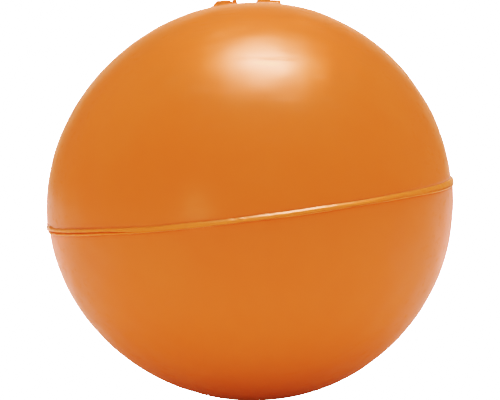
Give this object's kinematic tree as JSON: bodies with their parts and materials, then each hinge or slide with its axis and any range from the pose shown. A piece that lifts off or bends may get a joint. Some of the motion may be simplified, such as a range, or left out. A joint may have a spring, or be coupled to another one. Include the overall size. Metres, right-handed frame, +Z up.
{
  "type": "playground rubber ball",
  "caption": "Inflatable playground ball: smooth orange rubber cover in two halves with a raised seam, wound carcass, bladder and needle valve between two guard ribs.",
  "frame": {"origin": "centre of the ball", "axes": "+Z up along the inflation valve's axis, out of the ball; +X along the two guard ribs beside the valve, towards the side where the seam is higher; the seam's plane leans 5.9 degrees about Y"},
  "size_m": [0.2176, 0.2186, 0.2137],
  "materials": {
    "cover_rubber": "smooth moulded orange rubber, satin to glossy",
    "winding_nylon": "off-white nylon thread, wound in all directions",
    "bladder_butyl": "matt black butyl rubber",
    "valve_butyl": "matt black moulded rubber",
    "core_gum": "dark gum rubber with a trace of valve lubricant"
  },
  "bodies": {
    "root": {"cover_upper_half": "cover_rubber", "cover_lower_half": "cover_rubber", "thread_winding": "winding_nylon", "bladder": "bladder_butyl", "valve_housing": "valve_butyl", "valve_core": "core_gum", "valve_patch": "bladder_butyl"}
  },
  "joints": []
}
